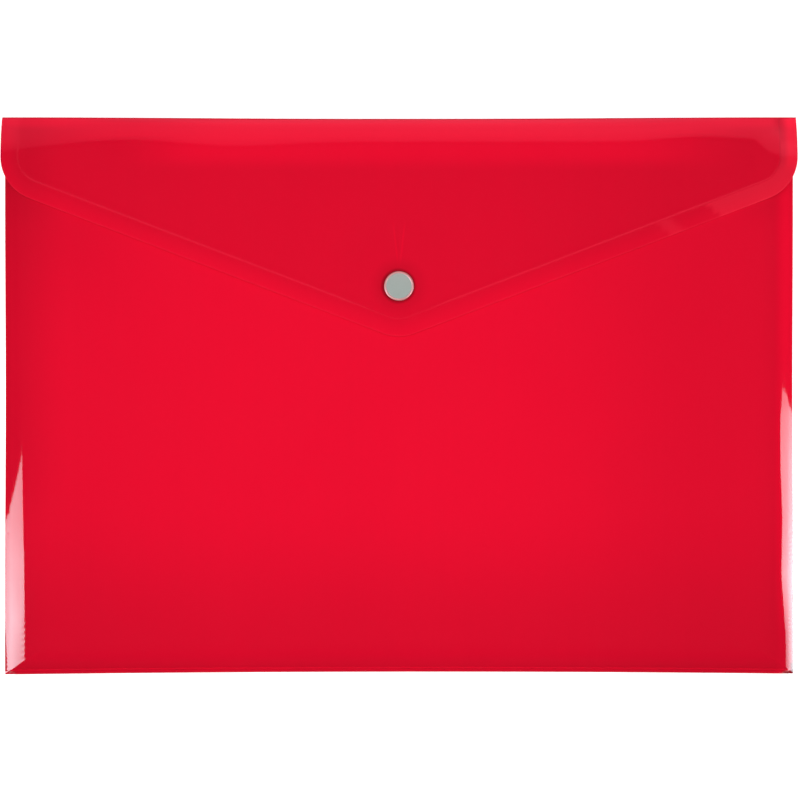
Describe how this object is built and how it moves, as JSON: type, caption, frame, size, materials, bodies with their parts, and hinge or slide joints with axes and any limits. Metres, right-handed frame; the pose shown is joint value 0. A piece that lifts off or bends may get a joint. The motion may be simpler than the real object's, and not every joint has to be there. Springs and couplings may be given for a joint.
{
  "type": "document wallet",
  "caption": "Landscape document wallet of thin glossy plastic sheet, with a pocket open at the top, a V-shaped flap that folds over it and a press stud that holds the flap closed.",
  "frame": {"origin": "centre of the bottom of the closed wallet's bounding box, on the surface that the back panel lies on", "axes": "+X across the wallet to the right, +Y up the wallet to the top crease, +Z out of the front, away from the back panel"},
  "size_m": [0.338, 0.236, 0.0098],
  "materials": {
    "red_sheet": "glossy, slightly translucent red polypropylene sheet",
    "satin_cap": "satin nickel plate with a polished rim",
    "plated_brass": "nickel-plated brass, bright",
    "spring_steel": "drawn spring wire"
  },
  "bodies": {
    "pocket": {"back_panel": "red_sheet", "front_panel": "red_sheet", "bottom_fold": "red_sheet", "left_side_weld": "red_sheet", "right_side_weld": "red_sheet", "top_fold": "red_sheet", "stud": "plated_brass", "stud_rivet": "plated_brass"},
    "flap": {"flap": "red_sheet", "cap_shell": "satin_cap", "cap_rivet": "plated_brass", "socket": "plated_brass", "socket_spring": "spring_steel"}
  },
  "joints": [
    {"name": "flap_hinge", "type": "hinge", "parent": "pocket", "child": "flap", "pos_m": [0, 0.11725, 0.00495], "axis": [-1, 0, 0], "range_deg": [0, 180], "deforming": ["top_fold", "socket_spring"]}
  ]
}
